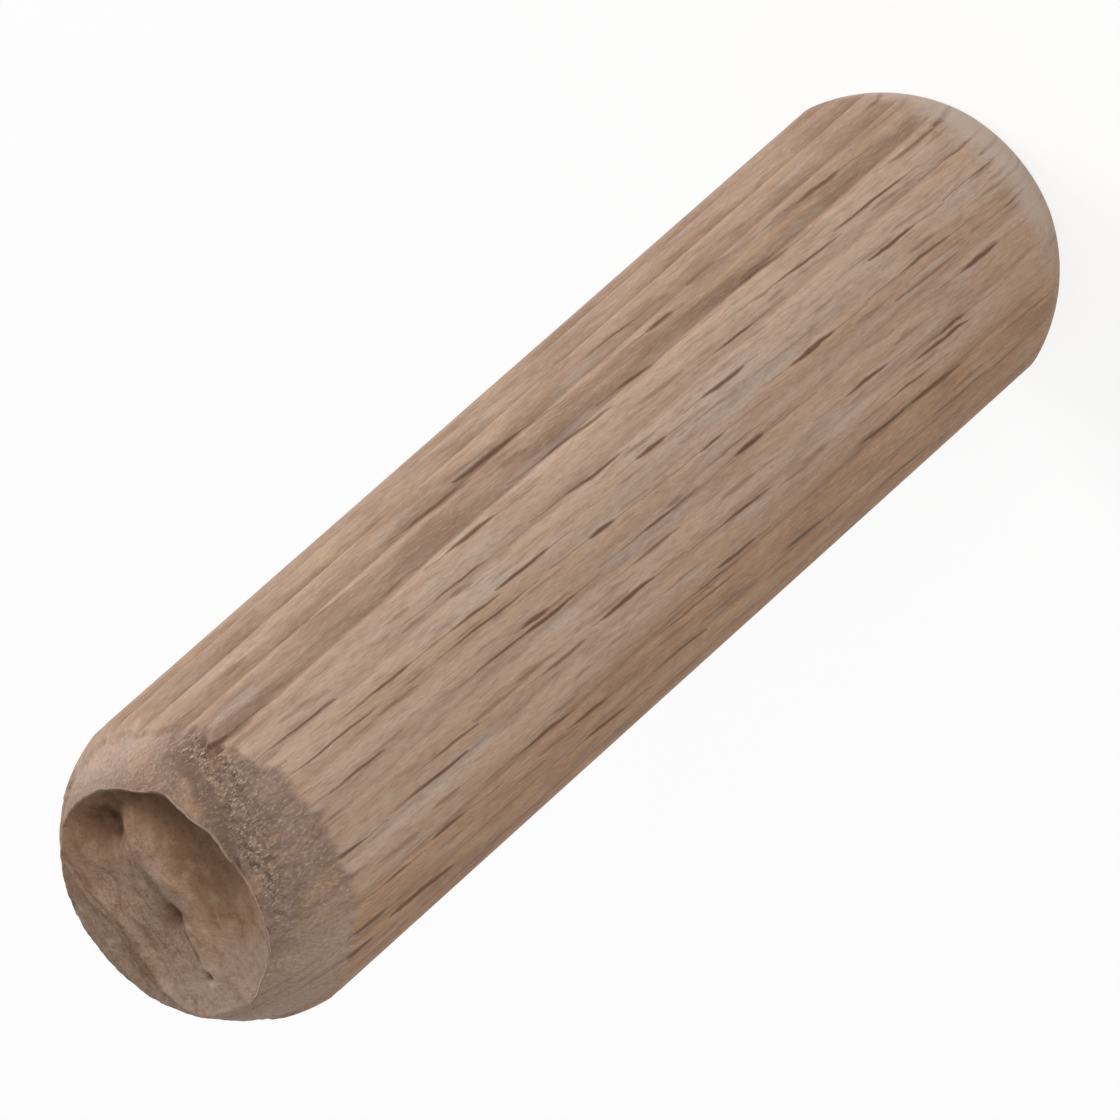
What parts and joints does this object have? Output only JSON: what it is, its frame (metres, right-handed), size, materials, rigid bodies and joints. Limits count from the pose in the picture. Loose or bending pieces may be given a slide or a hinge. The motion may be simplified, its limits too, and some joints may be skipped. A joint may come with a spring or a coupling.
{
  "type": "dowel pin",
  "caption": "Fluted beech dowel pin with crowned ends, one of them torn and hollowed, for glued joints between drilled panels.",
  "frame": {"origin": "centre of the flat foot, where the pin stands on its sound end", "axes": "+Z along the pin and its grain, towards the torn end; a flute lies on the X axis and the front lip of the hollow is towards -Y"},
  "size_m": [0.008, 0.008, 0.03],
  "materials": {
    "beech": "bare planed beech, fluted, with a torn grey end"
  },
  "bodies": {
    "root": {"dowel_pin": "beech"}
  },
  "joints": []
}
